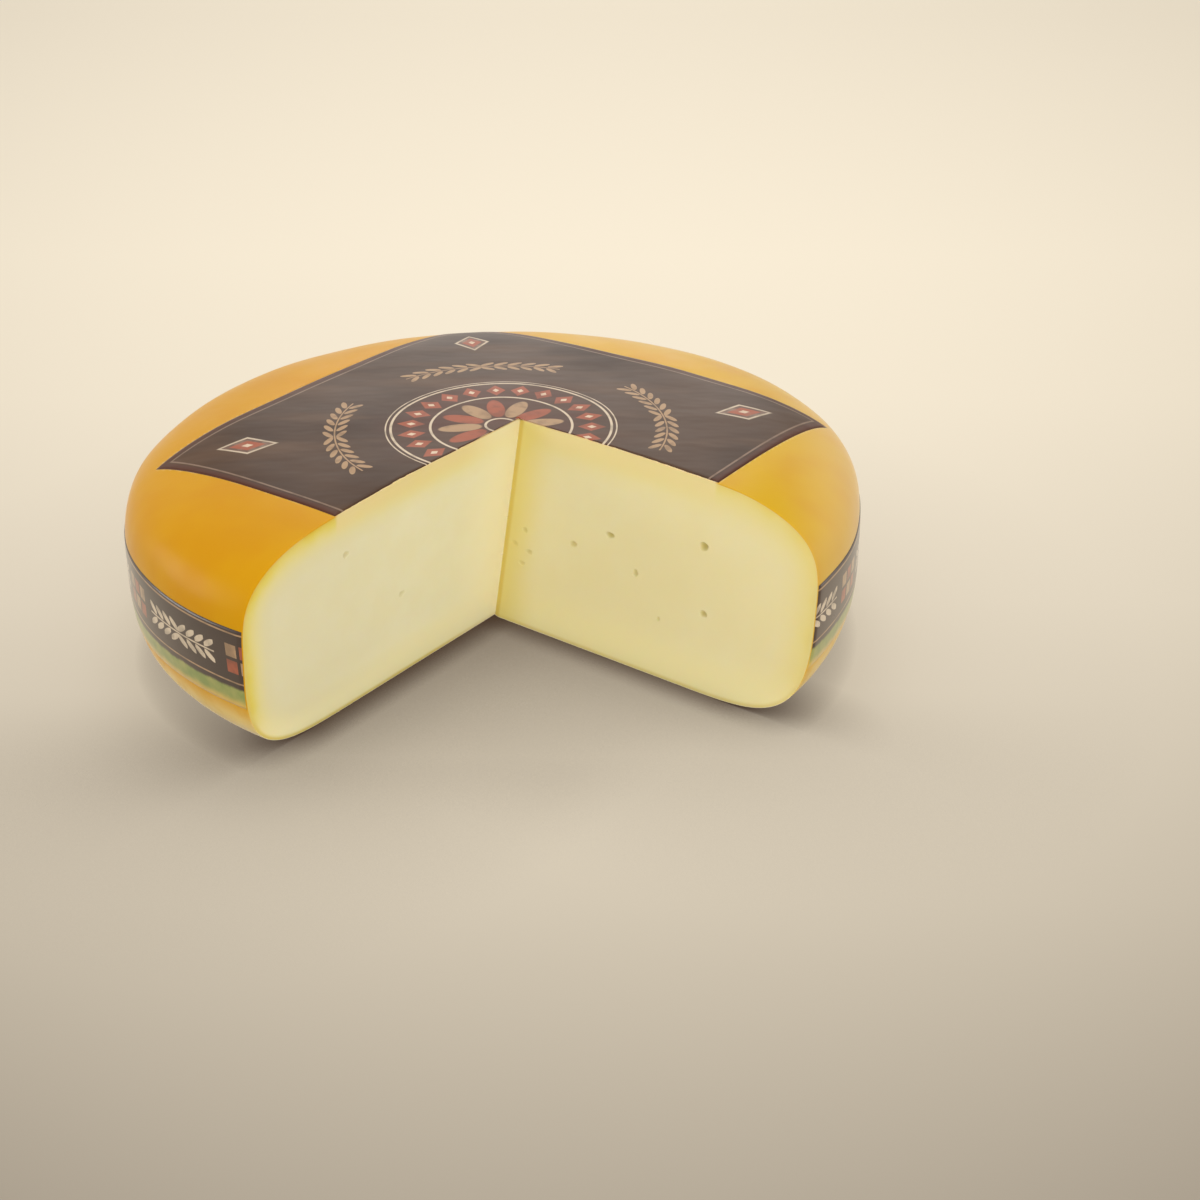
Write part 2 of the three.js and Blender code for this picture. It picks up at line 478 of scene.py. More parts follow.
def label_angles(crease):
    """Directions from the crease, with one exactly at each corner that the cut left."""
    angles = body_angles(RIND_COLUMNS)
    for corner in LABEL_CORNERS - crease:
        turn = np.arctan2(corner[1], corner[0])
        turn = turn + tau if turn < angles[0] else turn
        nearest = np.abs(angles - turn).argmin()
        if np.abs(angles[nearest] - turn) < angles[1] - angles[0]:
            angles[nearest] = turn
    return angles


def on_print(plan):
    """Places on the label's print, which was a true square before it was laid, in mm from its middle."""
    half = PRINT_HALF
    square = np.array([[-half, half], [-half, -half], [half, -half], [half, half]])
    rows = []
    for (x, y), (across, up) in zip(LABEL_CORNERS, square):
        rows.append([x, y, 1, 0, 0, 0, -across * x, -across * y])
        rows.append([0, 0, 0, x, y, 1, -up * x, -up * y])
    fitted = np.append(np.linalg.solve(np.array(rows), square.ravel()), 1).reshape(3, 3)
    flat = np.column_stack([plan, np.ones(len(plan))]) @ fitted.T
    return flat[:, :2] / flat[:, 2:]


def under_label(points):
    """How far inside the label's outline each point near the top lies, up to one millimetre."""
    inside = PRINT_HALF - np.abs(on_print(points[:, :2])).max(axis=1)
    return np.where(points[:, 2] > WIDEST_AT, np.clip(inside, 0, 1), 0)


def skin_on_top(plan, offset):
    """Points on the top side above places in plan, moved out square to the rind."""
    flat = np.concatenate([plan, np.zeros(plan.shape[:-1] + (1,))], -1)
    radius = plain_radius(flat)
    step = 0.5
    slope = (top_height(radius + step) - top_height(radius - step)) / (2 * step)
    angle = np.arctan2(plan[..., 1], plan[..., 0])
    normal = np.stack([-slope * np.cos(angle), -slope * np.sin(angle), np.ones_like(slope)], -1)
    flat[..., 2] = top_height(radius)
    return flat + np.asarray(offset)[..., None] * unit(normal)


def thin_edges(offset, shape):
    """How far the film stands off the rind at each point of its grid: all but flush along its border."""
    offsets = np.full(shape, offset)
    offsets[[0, -1], :] = SKIN_EDGE
    offsets[:, -1] = SKIN_EDGE
    return offsets


def closed_skin(name, over, under):
    """A closed thin sheet from its two grids, stitched along its border."""
    rows, columns = over.shape[:2]
    count = rows * columns
    points = np.concatenate([over.reshape(-1, 3), under.reshape(-1, 3)])
    number = np.arange(count).reshape(rows, columns)
    border = np.concatenate([number[0, :], number[1:, -1], number[-1, -2::-1], number[-2:0:-1, 0]])
    following = np.roll(border, -1)
    walls = np.column_stack([border, following, following + count, border + count])
    faces = np.concatenate([grid_faces(rows, columns), grid_faces(rows, columns, count, True), walls])
    return make_object(name, points, faces)


def ragged(length, seed, size):
    """Small jogs along a cut edge of a skin."""
    random = np.random.default_rng(seed)
    knots = random.uniform(0, 1, 90) ** 2
    return size * np.interp(length, np.linspace(0, 200, 90), knots)


def make_label():
    crease = CREASE_AT_TOP
    angles = label_angles(crease)
    share = np.linspace(0.003, 1, LABEL_ROWS)
    length = label_reach(angles, crease)[:, None] * share[None, :]
    plan = crease + length[..., None] * np.stack([np.cos(angles), np.sin(angles)], -1)[:, None]
    sides = ((0, direction(RIGHT_FACE_ANGLE + 90), 7), (-1, direction(LEFT_FACE_ANGLE - 90), 8))
    for edge, inward, seed in sides:
        back = SKIN_BACK + ragged(length[edge], seed, LABEL_JOGS)
        plan[edge] = plan[edge] + back[:, None] * inward[:2]
    over = skin_on_top(plan, thin_edges(SKIN_OVER, plan.shape[:2]))
    under = skin_on_top(plan, np.full(plan.shape[:2], SKIN_UNDER))
    piece = closed_skin("gouda_top_label", over, under)
    points = points_of(piece.data)
    set_place(piece.data, "print_place", np.column_stack([on_print(points[:, :2]), points[:, 2]]))
    set_points(piece.data, unevenness(points))
    return piece


def make_band():
    angles = body_angles(RIND_COLUMNS)[:, None]
    height = np.linspace(BAND_LOW, BAND_HIGH, BAND_ROWS)[None, :]
    radius = rim_radius(height)
    slope = rim_radius(height + 0.5) - rim_radius(height - 0.5)
    layers = []
    shape = (len(angles), BAND_ROWS)
    flush = thin_edges(SKIN_OVER, shape)
    flush[:, 0] = SKIN_EDGE
    for offset in (flush, np.full(shape, SKIN_UNDER)):
        tilt = 1 / np.sqrt(1 + slope ** 2)
        out = radius + offset * tilt
        level = height - offset * slope * tilt
        length = reach(out + np.zeros_like(angles), level + np.zeros_like(angles), angles)
        grid = from_crease(length, np.broadcast_to(level, length.shape), angles)
        sides = ((0, direction(RIGHT_FACE_ANGLE + 90)), (-1, direction(LEFT_FACE_ANGLE - 90)))
        for edge, inward in sides:
            grid[edge] = grid[edge] + SKIN_BACK * inward
        layers.append(grid)
    piece = closed_skin("gouda_side_band", layers[0], layers[1])
    points = points_of(piece.data)
    around = np.arctan2(points[:, 1], points[:, 0])
    around = np.where(around < radians(-80), around + tau, around) * WHEEL_RADIUS
    set_place(piece.data, "print_place", np.column_stack([around, points[:, 2], np.zeros(len(around))]))
    set_points(piece.data, unevenness(points))
    return piece


# Materials

# Inks, as they show on screen
CREAM = (222, 204, 178)
TAN = (182, 148, 112)
TERRACOTTA = (168, 88, 60)
UMBER = (88, 50, 38)
BORDER = (140, 116, 98)

# Leaves of the sprays, in mm: each leans from the stem, its middle lifted off it
LEAF_SLANT = 32
LEAF_LIFT = 3.4
LEAF_HALF_LENGTH = 4.4
LEAF_HALF_WIDTH = 1.5
STEM_WIDTH = 0.8


def linear(red, green, blue):
    """A colour given as it shows on screen, from 0 to 255, as Blender's linear colour."""
    shown = np.array([red, green, blue]) / 255
    value = np.where(shown <= 0.04045, shown / 12.92, ((shown + 0.055) / 1.055) ** 2.4)
    return (float(value[0]), float(value[1]), float(value[2]), 1.0)


class Finish:
    """A material and short ways to add its nodes."""

    def __init__(self, name):
        self.material = bpy.data.materials.new(name)
        self.material.use_nodes = True
        self.tree = self.material.node_tree
        self.tree.nodes.clear()
        self.output = self.tree.nodes.new("ShaderNodeOutputMaterial")

    def node(self, kind, inputs=None, **settings):
        node = self.tree.nodes.new("ShaderNode" + kind)
        for name, value in settings.items():
            setattr(node, name, value)
        for name, value in (inputs or {}).items():
            self.feed(node.inputs[name], value)
        return node

    def feed(self, socket, value):
        if isinstance(value, bpy.types.NodeSocket):
            self.tree.links.new(value, socket)
        else:
            socket.default_value = value

    def math(self, operation, *values):
        node = self.node("Math", operation=operation)
        for socket, value in zip(node.inputs, values):
            self.feed(socket, value)
        return node.outputs[0]

    def add(self, first, second):
        return self.math("ADD", first, second)

    def subtract(self, first, second):
        return self.math("SUBTRACT", first, second)

    def times(self, first, second):
        return self.math("MULTIPLY", first, second)

    def size(self, value):
        return self.math("ABSOLUTE", value)

    def step(self, value, low, high, start=0.0, end=1.0):
        """A smooth step of the value, from start at low to end at high."""
        ends = {"Value": value, "From Min": low, "From Max": high, "To Min": start, "To Max": end}
        return self.node("MapRange", ends, interpolation_type="SMOOTHSTEP").outputs["Result"]

    def mix(self, share, first, second):
        ends = {0: share, 6: first, 7: second}
        return self.node("Mix", ends, data_type="RGBA").outputs[2]

    def noise(self, scale, detail=3.0, stretch=(1, 1, 1)):
        """Noise in the part's own metres."""
        place = self.node("TexCoord").outputs["Object"]
        scaled = self.node("VectorMath", {0: place, 1: stretch}, operation="MULTIPLY").outputs[0]
        settings = {"Vector": scaled, "Scale": scale, "Detail": detail}
        return self.node("TexNoise", settings).outputs["Fac"]

    def step_even(self, value, low, high):
        """Zero to one, evenly, from low to high."""
        ends = {"Value": value, "From Min": low, "From Max": high}
        return self.node("MapRange", ends).outputs["Result"]

    def ramp(self, value, stops):
        """A colour that runs evenly from stop to stop, each a value and its colour."""
        low = stops[0][0]
        high = stops[-1][0]
        node = self.node("ValToRGB", {"Fac": self.step_even(value, low, high)})
        elements = node.color_ramp.elements
        elements[0].color = stops[0][1]
        elements[1].color = stops[-1][1]
        for place, colour in stops[1:-1]:
            elements.new((place - low) / (high - low)).color = colour
        return node.outputs["Color"]

    def tint(self, colour, share, shown):
        """The colour mixed towards one given as it shows on screen."""
        return self.mix(share, colour, linear(*shown))

    def split(self, vector):
        parts = self.node("SeparateXYZ", {0: vector}).outputs
        return parts[0], parts[1], parts[2]

    def number(self, name):
        return self.node("Attribute", attribute_name=name).outputs["Fac"]

    def place(self, name):
        return self.split(self.node("Attribute", attribute_name=name).outputs["Vector"])

    def bump(self, height, distance, strength):
        settings = {"Height": height, "Distance": distance, "Strength": strength}
        return self.node("Bump", settings).outputs["Normal"]

    def nearness(self, reach, strength):
        """One in the open, falling towards zero where another surface is closer than the reach; the floor
        paints its shadow with it.
        """
        near = self.node("AmbientOcclusion", {"Distance": reach}, samples=SHADE_SAMPLES).outputs["AO"]
        return self.math("POWER", near, strength)

    def surface(self, inputs):
        shader = self.node("BsdfPrincipled", inputs)
        self.tree.links.new(shader.outputs[0], self.output.inputs["Surface"])

    # Shapes of the print: one inside, zero outside

    def line(self, value, middle, width):
        away = self.size(self.subtract(value, middle))
        return self.step(away, width / 2 - 0.15, width / 2 + 0.15, 1.0, 0.0)

    def oval(self, across, up, half_width, half_height):
        wide = self.math("POWER", self.times(across, 1 / half_width), 2)
        high = self.math("POWER", self.times(up, 1 / half_height), 2)
        return self.step(self.add(wide, high), 0.85, 1.15, 1.0, 0.0)

    def diamond(self, across, up, half_width, half_height):
        wide = self.times(self.size(across), 1 / half_width)
        high = self.times(self.size(up), 1 / half_height)
        return self.step(self.add(wide, high), 0.93, 1.07, 1.0, 0.0)

    def below(self, value, limit):
        return self.math("LESS_THAN", value, limit)

    def both(self, first, second):
        return self.times(first, second)

    # Repeats

    def within(self, value, step):
        """Place in one of the equal steps of a run, from the step's middle."""
        share = self.math("FRACT", self.times(value, 1 / step))
        return self.times(self.subtract(share, 0.5), step)

    def every_second(self, value, step):
        """One in every second step of a run."""
        share = self.math("FRACT", self.times(value, 0.5 / step))
        return self.math("GREATER_THAN", share, 0.5)

    def polar(self, across, up):
        """Distance from the middle, and turn round it in whole turns from 0 to 1."""
        squares = self.add(self.times(across, across), self.times(up, up))
        turn = self.times(self.math("ARCTAN2", up, across), 1 / tau)
        return self.math("SQRT", squares), self.add(turn, 0.5)

    def petals(self, distance, turn, count, middle, half_length, half_width):
        across = self.times(self.times(self.within(turn, 1 / count), tau), distance)
        return self.oval(across, self.subtract(distance, middle), half_width, half_length)

    def diamonds(self, distance, turn, count, middle, half_length, half_width):
        across = self.times(self.times(self.within(turn, 1 / count), tau), distance)
        return self.diamond(across, self.subtract(distance, middle), half_width, half_length)

    def leaves(self, along, side, step, reach):
        """Pairs of slanting leaves on a stem that runs both ways from its middle and ends at a reach."""
        outward = self.size(along)
        slant = radians(LEAF_SLANT)
        across = self.within(outward, step)
        lift = self.subtract(self.size(side), LEAF_LIFT)
        length = self.add(self.times(across, cos(slant)), self.times(lift, sin(slant)))
        width = self.subtract(self.times(lift, cos(slant)), self.times(across, sin(slant)))
        leaf = self.oval(length, width, LEAF_HALF_LENGTH, LEAF_HALF_WIDTH)
        stem = self.line(side, 0, STEM_WIDTH)
        drawn = self.math("MAXIMUM", leaf, stem)
        return self.both(drawn, self.below(outward, reach))


# Cheese colours, as they show on screen
GOLD_LEFT = (211, 153, 8)
GOLD_RIGHT = (214, 170, 18)
GOLD_MOTTLE = (204, 138, 2)
# Painted sheen on the rind at the back and at the far right
SHEEN_PAINTED_BACK = (224, 184, 104)
SHEEN_PAINTED_FAR_RIGHT = (228, 194, 132)
LOW_RIND_PALE = (228, 202, 128)
LOW_RIND_DEEP = (216, 180, 88)
# Painted light on the rind's foot
RIND_FOOT_PAINTED_LIGHT = (244, 232, 192)
RIND_UNDER_LABEL = (236, 210, 150)
PASTE_FLECKS = (234, 226, 176)
PASTE_BY_BAND = (224, 206, 122)
PASTE_BY_LABEL = (239, 221, 168)
# The next eight colours are painted light and painted shade on the cut faces.
PASTE_RIGHT_PAINTED_SHADE = (236, 221, 160)
PASTE_LEFT_BASE_PAINTED_LIGHT = (250, 243, 198)
PASTE_RIGHT_BASE_PAINTED_LIGHT = (246, 236, 182)
PASTE_LEFT_BY_CREASE_PAINTED_LIGHT = (252, 244, 204)
PASTE_FAR_LEFT_PAINTED_SHADE = (222, 215, 180)
PASTE_RIGHT_BY_CREASE_PAINTED_SHADE = (230, 214, 124)
PASTE_IN_CREASE_PAINTED_SHADE = (222, 198, 100)
PASTE_IN_EYES_PAINTED_SHADE = (184, 168, 84)
# How the paste pales away from the rind: depth in mm and colour
PASTE_DEPTHS = (
    (0.0, (210, 160, 26)),
    (0.8, (222, 192, 58)),
    (1.6, (226, 203, 76)),
    (3.8, (230, 214, 108)),
    (6.0, (232, 219, 134)),
    (9.0, (235, 225, 156)),
    (14.0, (238, 231, 184)),
    (20.0, (239, 235, 200)),
)


def cheese_fields(finish):
    """What the cheese's colours depend on: places in mm, x and y in metres, and noise."""
    along_left, along_right, height = finish.place("along_faces")
    x, y, _ = finish.split(finish.node("TexCoord").outputs["Object"])
    on_right = finish.step(along_right, 0.2, 1.0)
    return SimpleNamespace(
        depth=finish.number("rind_depth"),
        under=finish.number("under_label"),
        in_eye=finish.number("in_eye"),
        along_left=along_left,
        along_right=along_right,
        height=height,
        x=x,
        y=y,
        on_right=on_right,
        on_left=finish.subtract(1, on_right),
        cloud=finish.noise(9, 3),
        fine=finish.noise(60, 4),
    )


def rind_colour(finish, at):
    """Mottled gold, paler below the band; paler at the back and at the far right from a painted sheen, and
    paler at the foot from painted light.
    """
    uneven_x = finish.add(at.x, finish.times(finish.subtract(at.cloud, 0.5), 0.2))
    gold = finish.mix(finish.step(uneven_x, -0.12, 0.16), linear(*GOLD_LEFT), linear(*GOLD_RIGHT))
    mottle = finish.noise(26, 2, (1.0, 1.0, 0.5))
    gold = finish.tint(gold, finish.step(mottle, 0.4, 0.7, 0.0, 0.4), GOLD_MOTTLE)
    # Painted sheen: the rind turns paler towards the back and at the far right.
    towards_back = finish.add(finish.times(at.x, 0.6), finish.times(at.y, 0.8))
    gold = finish.tint(gold, finish.step(towards_back, 0.07, 0.18, 0.0, 0.5), SHEEN_PAINTED_BACK)
    gold = finish.tint(gold, finish.step(at.x, 0.13, 0.18, 0.0, 0.55), SHEEN_PAINTED_FAR_RIGHT)
    low = finish.mix(finish.step(at.fine, 0.35, 0.65), linear(*LOW_RIND_PALE), linear(*LOW_RIND_DEEP))
    rind = finish.mix(finish.step(at.height, BAND_LOW - 12, BAND_LOW + 4), low, gold)
    # Painted light: the rind pales near its foot, as light bounced up from the floor would make it.
    rind = finish.tint(rind, finish.step(at.height, 8.0, 22.0, 0.85, 0.0), RIND_FOOT_PAINTED_LIGHT)
    return finish.tint(rind, at.under, RIND_UNDER_LABEL)


def paste_near_rind(finish, at):
    """The paste by its depth below the rind, with its warmer edges beside the band and the label."""
    stops = [(depth, linear(*shown)) for depth, shown in PASTE_DEPTHS]
    paste = finish.ramp(at.depth, stops)
    paste = finish.tint(paste, finish.step(at.fine, 0.3, 0.7, 0.0, 0.3), PASTE_FLECKS)
    below_band_top = finish.step(at.height, 68.0, 76.0, 0.8, 0.0)
    by_band = finish.both(below_band_top, finish.step(at.depth, 0.5, 3.0, 1.0, 0.0))
    paste = finish.tint(paste, by_band, PASTE_BY_BAND)
    by_label = finish.both(at.under, finish.step(at.depth, 2.0, 14.0, 0.8, 0.0))
    return finish.tint(paste, by_label, PASTE_BY_LABEL)


def paste_over_faces(finish, at, paste):
    """Painted light and shade on the paste of the two faces: a darker tinge over the right face, paler
    near the base and beside the crease on the left, darker far out on the left, by and in the crease on
    the right, and in the eyes.
    """
    # Painted shade: a darker, yellower tinge in slow clouds over the right face.
    painted_shade_tinge = finish.both(at.on_right, finish.step(at.cloud, 0.3, 0.7, 0.25, 0.6))
    paste = finish.tint(paste, painted_shade_tinge, PASTE_RIGHT_PAINTED_SHADE)
    # Painted light: the paste of both faces is made paler low down near the base, against the shade there.
    base = finish.mix(at.on_right, linear(*PASTE_LEFT_BASE_PAINTED_LIGHT), linear(*PASTE_RIGHT_BASE_PAINTED_LIGHT))
    painted_light_by_base = finish.both(finish.step(at.height, 6.0, 32.0, 0.9, 0.0), finish.step(at.depth, 0.5, 3.0))
    paste = finish.mix(painted_light_by_base, paste, base)
    # Painted light: the left face is made paler beside the crease, against the shade in the corner.
    painted_light_beside_crease = finish.both(at.on_left, finish.step(at.along_left, 1.0, 50.0, 0.7, 0.0))
    paste = finish.tint(paste, painted_light_beside_crease, PASTE_LEFT_BY_CREASE_PAINTED_LIGHT)
    # Painted shade: the left face darkens away from the crease.
    painted_shade_far_left = finish.both(at.on_left, finish.step(at.along_left, 60.0, 160.0, 0.0, 0.5))
    painted_shade_far_left = finish.both(painted_shade_far_left, finish.step(at.depth, 4.0, 16.0))
    paste = finish.tint(paste, painted_shade_far_left, PASTE_FAR_LEFT_PAINTED_SHADE)
    # Painted shade with yellow bounce light: the right face is darker and yellower near the crease.
    painted_shade_by_crease = finish.both(finish.step(at.along_right, 3.0, 28.0, 0.8, 0.0), at.on_right)
    paste = finish.tint(paste, painted_shade_by_crease, PASTE_RIGHT_BY_CREASE_PAINTED_SHADE)
    # Painted shade in the knife's slit at the crease.
    painted_shade_in_crease = finish.both(finish.step(at.along_right, 2.6, 4.6, 0.75, 0.0), at.on_right)
    paste = finish.tint(paste, painted_shade_in_crease, PASTE_IN_CREASE_PAINTED_SHADE)
    # Painted shade in the eyes, darkest in the middle of each pit.
    return finish.tint(paste, finish.times(at.in_eye, 0.85), PASTE_IN_EYES_PAINTED_SHADE)


def cheese_finish():
    finish = Finish("gouda_cheese_finish")
    at = cheese_fields(finish)
    paste = paste_over_faces(finish, at, paste_near_rind(finish, at))
    is_paste = finish.step(at.depth, 0.15, 0.5)
    finish.surface({
        "Base Color": finish.mix(is_paste, rind_colour(finish, at), paste),
        "Roughness": finish.add(finish.step(at.fine, 0.2, 0.8, 0.3, 0.4), finish.times(is_paste, 0.2)),
        "Specular IOR Level": 0.1,
        "Sheen Weight": 0.25,
        "Sheen Roughness": 0.3,
        "Sheen Tint": linear(255, 240, 228),
        "Subsurface Weight": 0.2,
        "Subsurface Radius": (0.006, 0.004, 0.0015),
        "Subsurface Scale": 1.0,
        "Normal": finish.bump(finish.noise(220, 4), 0.0006, 0.08),
    })
    return finish.material


def paint(finish, colour, mask, ink, wear):
    """Lays an ink over the colour where the mask is one, a little worn."""
    return finish.mix(finish.both(mask, wear), colour, linear(*ink))


# Label ornament, in mm from the middle of the print
BORDER_INSET = 5.5
MEDALLION_RINGS = ((56, 1.3), (58.6, 0.7), (36, 1.3), (8, 1.3))
MEDALLION_DIAMONDS = {"count": 22, "middle": 46}
MEDALLION_PETALS = {"count": 12, "middle": 21, "half_length": 11, "half_width": 4.6}
SPRAY_RADIUS = 84
SPRAY_HALF = 44.4
SPRAY_STEP = 7.4
CORNER_DIAMOND_AT = 127
CORNER_DIAMONDS = ((15, 10, CREAM), (13.2, 8.4, UMBER), (9, 5.6, TERRACOTTA), (3, 2, CREAM))
# Band ornament, in mm
BAND_LEAF_STEP = 6.6
BAND_LEAF_HALF = 26.4
BAND_SQUARE_PITCH = 8.4
BAND_SQUARE_HALF = 3.3
BAND_LINES = (BAND_HIGH - 2.2, BAND_DARK + 3)


def label_field(finish, cloud, across, up, distance, wear):
    """The label's dark ground with its streaks, the glow round the middle and the border line."""
    field = finish.mix(finish.step(cloud, 0.3, 0.7), linear(80, 56, 38), linear(66, 47, 35))
    streak = finish.step(finish.noise(11, 4, (1.0, 3.5, 1.0)), 0.48, 0.72, 0.0, 0.5)
    field = finish.tint(field, streak, (104, 76, 54))
    glow = finish.both(finish.step(distance, 40, 74, 0.8, 0.0), finish.step(finish.noise(30, 4), 0.3, 0.7))
    colour = finish.tint(field, glow, UMBER)
    edge = finish.math("MAXIMUM", finish.size(across), finish.size(up))
    colour = paint(finish, colour, finish.line(edge, PRINT_HALF - BORDER_INSET, 1.1), BORDER, wear)
    return finish.tint(colour, finish.step(edge, PRINT_HALF - 5, PRINT_HALF - 3, 0, 0.7), UMBER)


def label_medallion(finish, colour, distance, turn, wear):
    """A ring of diamonds round twelve petals, with thin circles."""
    diamonds = finish.diamonds(distance, turn, half_length=7.2, half_width=5.2, **MEDALLION_DIAMONDS)
    colour = paint(finish, colour, diamonds, TERRACOTTA, wear)
    hearts = finish.diamonds(distance, turn, half_length=2.4, half_width=1.8, **MEDALLION_DIAMONDS)
    colour = paint(finish, colour, hearts, CREAM, wear)
    petals = finish.petals(distance, turn, **MEDALLION_PETALS)
    second = finish.every_second(turn, 1 / MEDALLION_PETALS["count"])
    colour = paint(finish, colour, finish.both(petals, second), TERRACOTTA, wear)
    colour = paint(finish, colour, finish.both(petals, finish.subtract(1, second)), TAN, wear)
    for radius, width in MEDALLION_RINGS:
        colour = paint(finish, colour, finish.line(distance, radius, width), CREAM, wear)
    return colour


def label_sprays(finish, colour, across, up, distance, turn, wear):
    """A leafy spray along each side and a diamond in each corner."""
    quarter = finish.times(finish.within(turn, 1 / 4), tau * SPRAY_RADIUS)
    side = finish.subtract(distance, SPRAY_RADIUS)
    colour = paint(finish, colour, finish.leaves(quarter, side, SPRAY_STEP, SPRAY_HALF), TAN, wear)
    diagonal = finish.times(finish.add(finish.size(across), finish.size(up)), 0.5 ** 0.5)
    along = finish.subtract(diagonal, CORNER_DIAMOND_AT)
    aside = finish.times(finish.subtract(finish.size(across), finish.size(up)), 0.5 ** 0.5)
    for half_length, half_width, ink in CORNER_DIAMONDS:
        colour = paint(finish, colour, finish.diamond(along, aside, half_length, half_width), ink, wear)
    return colour


def label_finish():
    """A dark printed film with a border, a round ornament in the middle, sprays and corner diamonds."""
    finish = Finish("gouda_label_finish")
    across, up, _ = finish.place("print_place")
    distance, turn = finish.polar(across, up)
    cloud = finish.noise(14, 4)
    wear = finish.step(finish.noise(120, 3), 0.3, 0.55, 0.55, 0.9)
    colour = label_field(finish, cloud, across, up, distance, wear)
    colour = label_medallion(finish, colour, distance, turn, wear)
    colour = label_sprays(finish, colour, across, up, distance, turn, wear)
    finish.surface({
        "Base Color": colour,
        "Roughness": finish.step(cloud, 0.2, 0.8, 0.3, 0.4),
        "Specular IOR Level": 0.12,
        "Sheen Weight": 0.15,
        "Sheen Roughness": 0.3,
        "Normal": finish.bump(finish.noise(26, 2, (1.0, 2.2, 1.0)), 0.0012, 0.35),
    })
    return finish.material


def band_ground(finish, height, cloud, grain):
    """The band's dark ground, with the green stripe below it and gold showing under that."""
    dark = finish.mix(finish.step(cloud, 0.3, 0.7), linear(76, 58, 48), linear(64, 50, 43))
    green = finish.mix(finish.step(grain, 0.3, 0.7), linear(162, 162, 92), linear(132, 146, 76))
    uneven = finish.add(height, finish.times(finish.subtract(grain, 0.5), 2.2))
    green = finish.mix(finish.step(uneven, BAND_LOW, BAND_LOW + 5.5), linear(222, 184, 92), green)
    return finish.mix(finish.step(uneven, BAND_DARK - 1.2, BAND_DARK + 0.6), green, dark)


def band_squares(finish, colour, place, up, wear):
    """A group of three by two squares in the middle of each repeat, in two inks by turns."""
    pitch = BAND_SQUARE_PITCH
    shifted = finish.add(place, pitch / 2)
    raised = finish.add(up, pitch)
    square = finish.math("MAXIMUM", finish.size(finish.within(shifted, pitch)),
                         finish.size(finish.within(raised, pitch)))
    across_group = finish.below(finish.size(place), 1.5 * pitch)
    in_group = finish.both(across_group, finish.below(finish.size(up), pitch))
    squares = finish.both(finish.below(square, BAND_SQUARE_HALF), in_group)
    odd = finish.subtract(finish.every_second(shifted, pitch), finish.every_second(raised, pitch))
    odd = finish.size(odd)
    colour = paint(finish, colour, finish.both(squares, odd), TERRACOTTA, wear)
    return paint(finish, colour, finish.both(squares, finish.subtract(1, odd)), TAN, wear)


def band_finish():
    """A dark printed film with a leafy run between groups of squares, and a green stripe below."""
    finish = Finish("gouda_band_finish")
    around, height, _ = finish.place("print_place")
    cloud = finish.noise(20, 4)
    grain = finish.noise(120, 3)
    wear = finish.step(grain, 0.3, 0.55, 0.5, 0.9)
    colour = band_ground(finish, height, cloud, grain)
    up = finish.subtract(height, (BAND_HIGH + BAND_DARK) / 2)
    place = finish.within(finish.add(around, BAND_PHASE), BAND_REPEAT)
    beside = finish.subtract(finish.size(place), BAND_REPEAT / 2)
    colour = paint(finish, colour, finish.leaves(beside, up, BAND_LEAF_STEP, BAND_LEAF_HALF), CREAM, wear)
    colour = band_squares(finish, colour, place, up, wear)
    for level in BAND_LINES:
        colour = paint(finish, colour, finish.line(height, level, 0.8), TAN, wear)
    finish.surface({
        "Base Color": colour,
        "Roughness": finish.step(cloud, 0.2, 0.8, 0.26, 0.36),
        "Specular IOR Level": 0.5,
        "Coat Weight": 0.45,
        "Coat Roughness": 0.12,
        "Sheen Weight": 0.1,
        "Sheen Roughness": 0.3,
    })
    return finish.material


# Stage

# Painted light on the floor: how bright it is along Y in metres, from the near edge of the view to the far
# one
FLOOR_SHADES = (
    (-0.45, 0.44),
    (-0.263, 0.68),
    (-0.1, 0.80),
    (0.0, 0.87),
    (0.29, 0.97),
    (0.6, 1.0),
    (1.6, 0.93),
)
# Painted pool of light: how the floor darkens away from a middle line that runs from the viewer
FLOOR_MIDDLE = 0.052
FLOOR_POOL_DEPTH = 0.893
FLOOR_POOL_NEAREST = 0.4
FLOOR_POOL_FALL = 0.8
FLOOR_POOL_LEAST = 0.7
# Painted shadow on the floor near the cheese, drawn by its material from ambient occlusion: reach in
# metres, strength, and how much of it shows where
WIDE_SHADE = {"reach": 0.16, "strength": 1.3, "in the cut": 0.95, "in front": 1.25, "beside": 0.25}
CLOSE_SHADE = {"reach": 0.018, "strength": 2.6, "in the cut": 1.0, "beside": 0.3}
SHADE_SAMPLES = 6
WIDE_SOFTNESS = 0.07
CLOSE_SOFTNESS = 0.006
# The floor glows: painted light from its emission, which keeps the shadows soft
FLOOR_HALF = 12.0
FLOOR_COLOUR = (232, 221, 200)
FLOOR_SHADE_COLOUR = (66, 48, 37)
FLOOR_ALBEDO = 0.3
FLOOR_GLOW = 0.85

# Soft lamps: name, place in metres, width, power, and whether glossy surfaces mirror it
LIGHTS = (
    ("top_key", (0.0, 0.4, 1.6), 0.9, 10, True),
    ("front_fill", (0.5, -2.3, 0.3), 1.2, 27, False),
    ("left_panel", (-2.2, 0.1, 0.5), 1.2, 12, True),
    ("right_panel", (2.2, 0.5, 0.5), 1.2, 4, True),
    ("back_panel", (0.0, 2.3, 0.9), 1.4, 5, True),
)
LAMP_COLOUR = (1.0, 0.975, 0.94)
LAMP_AIM = (0, 0, 0.06)
ROOM_COLOUR = (255, 250, 242)
ROOM_STRENGTH = 0.6


def grey(shade):
    return (shade, shade, shade, 1.0)


